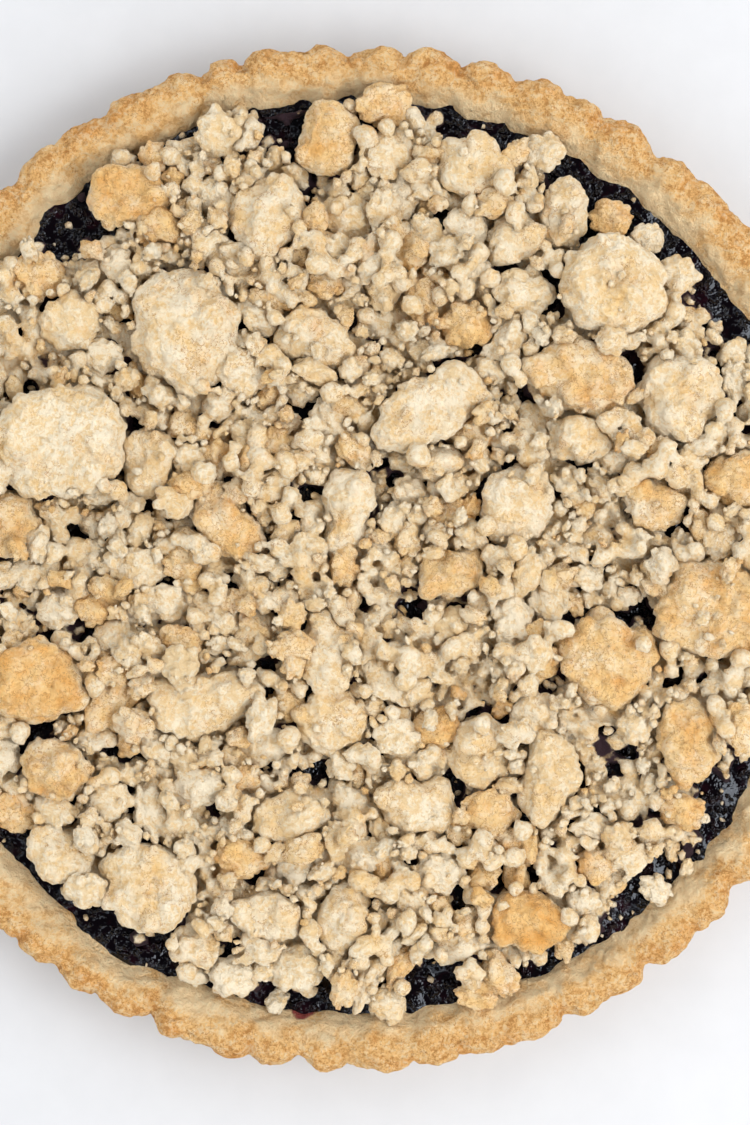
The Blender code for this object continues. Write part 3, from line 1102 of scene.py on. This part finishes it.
# Clods that stand out among the crumbs: x, y, length, width, turn, how toasted
clodPlaces = (
    (-36, 114, 16, 13, 100, 0.2),
    (9, 121, 16, 13, 20, 0.6),
    (-86, 76, 15, 14, 0, 0.6),
    (-64, 79, 12, 9, 80, 0.2),
    (-31, 50, 16, 15, 0, 0.3),
    (-32, 80, 15, 11, 0, 0.2),
    (10, 109, 15, 14, 0, 0.3),
    (13, 97, 15, 10, 90, 0.2),
    (-3, 91, 16, 14, 0, 0.3),
    (51, 109, 14, 12, 0, 0.2),
    (69, 92, 13, 11, 0, 0.6),
    (19, 86, 14, 12, 0, 0.2),
    (30, 88, 13, 12, 0, 0.1),
    (87, 76, 14, 12, 0, 0.2),
    (80, 86, 10, 9, 0, 0.2),
    (30, 64, 16, 14, 0, 0.6),
    (18, 70, 17, 11, 90, 0.55),
    (40, 56, 12, 10, 0, 0.1),
    (-6, 36, 15, 11, 90, 0.2),
    (-44, 27, 11, 10, 0, 0.2),
    (-68, 53, 11, 11, 0, 0.1),
    (102, 48, 14, 8, 90, 0.1),
    (71, 27, 10, 8, 0, 0.2),
    (45, 71, 18, 16, 0, 0.2),
    (-47, -24, 15, 12, 0, 0.55),
    (-50, -12, 14, 11, 0, 0.2),
    (-64, -22, 14, 13, 0, 0.3),
    (-35, -17, 12, 11, 0, 0.1),
    (-59, -4, 16, 13, 0, 0.2),
    (-46, -1, 12, 11, 0, 0.55),
    (-87, -5, 11, 9, 0, 0.2),
    (-79, -15, 13, 11, 0, 0.2),
    (-92, -69, 15, 12, 0, 0.6),
    (-97, -54, 14, 12, 0, 0.2),
    (-65, -40, 21, 13, 55, 0.6),
    (-54, -50, 14, 8, -50, 0.2),
    (-42, -62, 15, 13, 0, 0.1),
    (-66, -66, 14, 12, 0, 0.1),
    (-55, -68, 19, 10, 100, 0.2),
    (-71, -90, 12, 11, 0, 0.2),
    (-43, -104, 14, 13, 0, 0.3),
    (-33, -113, 14, 12, 0, 0.2),
    (-16, -110, 16, 14, 0, 0.2),
    (4, -113, 21, 8, 65, 0.2),
    (12, -110, 15, 7, 60, 0.6),
    (27, -105, 18, 10, 20, 0.2),
    (34, -119, 13, 9, 0, 0.55),
    (65, -83, 12, 11, 0, 0.6),
    (75, -81, 12, 10, 0, 0.2),
    (82, -90, 12, 8, -40, 0.2),
    (104, -46, 15, 10, 90, 0.55),
    (88, -68, 13, 11, 0, 0.6),
    (64, -73, 12, 8, 0, 0.1),
    (76, -46, 10, 10, 0, 0.2),
    (48, -42, 14, 13, 0, 0.2),
    (42, -18, 17, 12, 90, 0.2),
    (52, -12, 12, 11, 0, 0.2),
    (11, -50, 14, 14, 0, 0.2),
    (22, -45, 14, 12, 0, 0.7),
    (8, -33, 18, 10, -45, 0.2),
    (37, -69, 17, 14, 0, 0.55),
    (3, -81, 13, 12, 0, 0.1),
    (-16, -84, 13, 11, 0, 0.1),
    (-31, -82, 17, 12, 0, 0.6),
    (22, -84, 15, 13, 0, 0.2),
    (-24, -51, 15, 12, 0, 0.2),
    (15, 19, 11, 9, 0, 0.2),
    (98, 5, 14, 10, 30, 0.3),
    (-100, 28, 14, 12, 30, 0.3),
    (-112, 14, 13, 12, 0, 0.3),
    (-102, 60, 14, 12, 0, 0.2),
    (-104, -34, 15, 12, 40, 0.4),
    (-113, 32, 12, 10, 0, 0.2),
    (112, 4, 13, 11, 0, 0.3),
    (114, -22, 13, 10, 90, 0.2),
    (108, -30, 12, 9, 0, 0.3),
)


def scatterClods():
    chooser = random.Random(21)
    crumbs = []
    for x, y, length, width, turn, toasted in clodPlaces:
        size = (length / 2, width / 2, (3 + 0.42 * width) / 2)
        spin = math.radians(turn)
        rest = dropCrumb(x, y, size, spin, 0.32, 4, 1.0, chooser)
        if rest is None:
            continue
        turned = (chooser.uniform(-0.25, 0.25), chooser.uniform(-0.25, 0.25), spin)
        tone = chooser.uniform(-0.04, 0.06)
        crumbs.append({"place": rest, "size": size, "turn": turned, "toast": toasted, "tone": tone})
    return crumbs


# For each kind: range of half widths, how many are tried, how far each may roll to find a low place,
# how often it tries, how much of it presses in, how much small ones are favoured, and the chance to
# stay on a lump
scatterPlan = {
    "clump": ((3.2, 6.0), 350, 5.0, 8, 0.45, 1.2, 0.02),
    "fusedNugget": ((1.8, 3.9), 1900, 4.0, 7, 0.50, 1.1, 0.05),
    "fusedBit": ((0.9, 1.8), 2600, 2.4, 6, 0.50, 1.0, 0.06),
    "nugget": ((1.8, 3.4), 520, 3.0, 5, 0.35, 1.2, 0.08),
    "bit": ((0.8, 1.7), 1900, 2.4, 5, 0.35, 1.1, 0.06),
    "grain": ((0.40, 0.9), 1700, 1.5, 3, 0.40, 1.0, 0.03),
}


def markTops():
    # adds to the mask whatever stands above its surroundings
    reach = 8
    padded = np.pad(surface, reach, mode="edge").cumsum(axis=0).cumsum(axis=1)
    padded = np.pad(padded, ((1, 0), (1, 0)))
    side = 2 * reach + 1
    total = padded[side:, side:] - padded[:-side, side:] - padded[side:, :-side] + padded[:-side, :-side]
    lumpMask[surface - total / side**2 > 0.7] = True


def scatterKind(kind, seed, bareChance):
    (small, large), tries, roll, attempts, sink, favourSmall, stay = scatterPlan[kind]
    chooser = random.Random(seed)
    crumbs = []
    sizes = [small + (large - small) * chooser.random() ** favourSmall for _ in range(tries)]
    for size in sorted(sizes, reverse=True):
        radius = (126 - large) * math.sqrt(chooser.random())
        angle = chooser.uniform(0, math.tau)
        x, y = radius * math.cos(angle), radius * math.sin(angle)
        cover = float(coverMap[int(toCell(np.array(x))), int(toCell(np.array(y)))])
        if chooser.random() > max(cover, bareChance):
            continue
        flat = chooser.uniform(0.65, 0.95)
        long = chooser.uniform(1.0, 1.35)
        shape = (size * long, size / long, size * flat)
        spin = chooser.uniform(0, math.pi)
        rest = dropCrumb(x, y, shape, spin, sink, attempts, roll, chooser, stay)
        if rest is None:
            continue
        tilt = 1.2 if large < 2.5 else 0.5
        crumbs.append(
            {
                "place": rest,
                "size": shape,
                "turn": (chooser.uniform(-tilt, tilt), chooser.uniform(-tilt, tilt), spin),
                "toast": min(0.6, max(0, chooser.gauss(0.34 if large > 2.5 else 0.22, 0.2))),
                "tone": chooser.gauss(0.0, 0.035),
            }
        )
    return crumbs


fusedBed = {
    "voxel": 0.75,
    "triangles": 196000,
    "swell": ((8.0, 0.5),),
    "billow": ((3.4, 0.7), (1.9, 0.5)),
    "grain": (1.1, 0.38),
}


def heapBase():
    # the low, uneven heap that the crumbs are baked to, with nothing of it on the bare patches
    x, y = discPlan(heap["columns"], np.linspace(heap["radius"], 0, heap["rings"], endpoint=False))
    top = np.stack([x, y, coreHeight(x, y, crumbleCover(x, y))], axis=-1)
    edge = top[:, :1].copy()
    edge[:, :, 2] = heap["foot"]
    grid = np.concatenate([edge, top], axis=1)
    middles = [[0, 0, heap["foot"]], [0, 0, shell["fillingLevel"] + heap["centreRise"]]]
    points = np.vstack([grid.reshape(-1, 3), middles])
    triangles = []
    for face in ringFaces(heap["columns"], grid.shape[1], len(points) - 2, len(points) - 1):
        triangles += [(face[0], face[step], face[step + 1]) for step in range(1, len(face) - 1)]
    return points, np.array(triangles)


def lobes(crumbs, count, seed):
    # round lobes, one in the middle of each fused crumb and the others about it: middles and radii
    chooser = np.random.default_rng(seed)
    middles, radii = [], []
    for crumb in crumbs:
        half = np.array(crumb["size"])
        spin = crumb["turn"][2]
        away = chooser.normal(size=(count, 3))
        away /= np.linalg.norm(away, axis=1)[:, None]
        share = chooser.uniform(0.38, 0.58, count)
        local = np.vstack([np.zeros(3), away * (1 - share)[:, None]]) * half
        cosine, sine = math.cos(spin), math.sin(spin)
        turnedX = local[:, 0] * cosine - local[:, 1] * sine
        turnedY = local[:, 0] * sine + local[:, 1] * cosine
        middles.append(np.stack([turnedX, turnedY, local[:, 2]], axis=-1) + crumb["place"])
        radii.append(np.maximum(np.concatenate([[0.84], share]) * half.mean(), 0.55))
    return np.vstack(middles), np.concatenate(radii)


def ballShape():
    mesh = bmesh.new()
    bmesh.ops.create_icosphere(mesh, subdivisions=2, radius=1)
    points = np.array([vert.co[:] for vert in mesh.verts])
    triangles = np.array([[vert.index for vert in face.verts] for face in mesh.faces])
    mesh.free()
    return points, triangles


def triangleMesh(name, points, triangles):
    mesh = bpy.data.meshes.new(name)
    mesh.vertices.add(len(points))
    mesh.vertices.foreach_set("co", points.ravel())
    mesh.loops.add(3 * len(triangles))
    mesh.loops.foreach_set("vertex_index", triangles.ravel().astype(np.int32))
    mesh.polygons.add(len(triangles))
    mesh.polygons.foreach_set("loop_start", np.arange(0, 3 * len(triangles), 3, dtype=np.int32))
    mesh.update(calc_edges=True)
    return mesh


def makeCore(groups):
    # crumbs baked together with the heap under them, as one skin
    points, triangles = heapBase()
    ballPoints, ballTriangles = ballShape()
    for middles, radii in groups:
        balls = middles[:, None, :] + ballPoints[None, :, :] * radii[:, None, None]
        firsts = len(points) + len(ballPoints) * np.arange(len(middles))
        triangles = np.vstack([triangles, (ballTriangles[None] + firsts[:, None, None]).reshape(-1, 3)])
        points = np.vstack([points, balls.reshape(-1, 3)])
    name = "crumble_core"
    skin = skinned(triangleMesh(name, points, triangles), fusedBed["voxel"], name)
    points, normals = meshPoints(skin), meshNormals(skin)
    offset = sandyOffset(points, fusedBed["swell"], fusedBed["billow"], fusedBed["grain"], 81)
    skin.vertices.foreach_set("co", (points + normals * offset[:, None]).ravel())
    skin = thinned(skin, fusedBed["triangles"], name)
    points = meshPoints(skin)
    piece = addPiece(name, points, meshFaces(skin), crumbleMaterial)
    bpy.data.meshes.remove(skin)
    toast = 0.28 + 0.22 * softNoise(points, 7.0, 84) + 0.16 * softNoise(points, 3.0, 85)
    # low parts are painted dark: jam soaked in, and painted shade in the gaps between the crumbs
    stain = jamStain(points[:, 2]) + soakAndGapShade(points[:, 2], heap["soakAndShadeTo"])
    paintCrumble(piece, np.clip(toast, 0, 1), 0.06 * softNoise(points, 5.0, 86), stain)
    report(f"{name}: {triangleCount(piece.data)} triangles")
    return piece


clods = scatterClods()
lumpMask = surface - baseSurface > 2.6
clumps = scatterKind("clump", 30, 0.0)
markTops()
fusedNuggets = scatterKind("fusedNugget", 31, 0.01)
markTops()
fusedBits = scatterKind("fusedBit", 32, 0.02)
corePiece = makeCore([lobes(fusedNuggets, 7, 91), lobes(fusedBits, 3, 92)])
report(f"{len(fusedNuggets)} nuggets and {len(fusedBits)} bits baked together")
nuggets = scatterKind("nugget", 34, 0.03)
bits = scatterKind("bit", 35, 0.07)
grains = scatterKind("grain", 36, 0.12)
crumbPieces = [
    growCrumbs("crumble_clods", clods, "clod"),
    growCrumbs("crumble_clumps", clumps, "clump"),
    growCrumbs("crumble_nuggets", nuggets, "nugget"),
    growCrumbs("crumble_bits", bits, "bit"),
    growCrumbs("crumble_grains", grains, "grain"),
]
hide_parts("crumble_bed")
allPieces = [crustPiece, fillingPiece, corePiece] + lumpPieces + crumbPieces
report(f"{sum(triangleCount(piece.data) for piece in allPieces)} triangles in all")

for piece in allPieces:
    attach(piece, "root")


setting = {
    "tableColour": (0.590, 0.592, 0.608, 1),
    "skyOverhead": 0.05,
    "skyAround": 1.68,
    "skyLow": 1.00,
    "skyColour": (0.95, 0.975, 1.0, 1),
    "windowColour": (1.0, 0.985, 0.96),
    "windowPlace": (0.68, -0.20, 1.00),
    "windowSize": 0.80,
    "windowPower": 9.6,
    "cameraAbove": 650.0,  # millimetres above the rim
    "longSide": 303.75,  # what the frame's long side takes in at the rim
    "aim": (5.75, -1.4),
}


def makeTable():
    mesh = bmesh.new()
    bmesh.ops.create_grid(mesh, x_segments=1, y_segments=1, size=1.5)
    data = meshData("table", mesh)
    material, tree, shader, place = newMaterial("white table", Roughness=0.6)
    flecks = noiseOf(tree, place, 60.0, 4.0, 0.6)
    pale = setting["tableColour"]
    darker = (pale[0] * 0.97, pale[1] * 0.97, pale[2] * 0.97, 1)
    base = addMix(tree, addRange(tree, flecks, 0.3, 0.7), darker, pale)
    tree.links.new(base, shader.inputs["Base Color"])
    data.materials.append(material)
    table = newObject("table", data)
    table.location.z = -0.0002  # just under the crust, so that the two don't flicker


def makeLight():
    world = bpy.data.worlds.new("studio")
    world.use_nodes = True
    tree = world.node_tree
    towards = addNode(tree, "ShaderNodeTexCoord").outputs["Generated"]
    high = addNode(tree, "ShaderNodeSeparateXYZ", {0: towards}).outputs["Z"]
    ring = addRange(tree, high, 0.2, 0.6, setting["skyLow"], setting["skyAround"])
    hole = addRange(tree, high, 0.82, 0.93, 1.0, setting["skyOverhead"] / setting["skyAround"])
    fade = addMath(tree, "MULTIPLY", ring, hole)
    sky = tree.nodes["Background"]
    sky.inputs["Color"].default_value = setting["skyColour"]
    tree.links.new(fade, sky.inputs["Strength"])
    scene.world = world
    lamp = bpy.data.lights.new("window", "AREA")
    lamp.shape = "SQUARE"
    lamp.size = setting["windowSize"]
    lamp.energy = setting["windowPower"]
    lamp.color = setting["windowColour"]
    window = newObject("window", lamp)
    window.location = setting["windowPlace"]
    window.rotation_euler = (-Vector(setting["windowPlace"])).to_track_quat("-Z", "Y").to_euler()


def makeCamera():
    lens = bpy.data.cameras.new("camera")
    lens.lens = lens.sensor_width * setting["cameraAbove"] / setting["longSide"]
    lens.clip_start = 0.01
    lens.clip_end = 10
    camera = newObject("camera", lens)
    aimX, aimY = setting["aim"]
    camera.location = (aimX * mm, aimY * mm, (setting["cameraAbove"] + shell["rimHeight"]) * mm)
    scene.camera = camera


makeTable()
makeLight()
makeCamera()
scene.view_settings.view_transform = "Standard"
report("table, light and camera set")
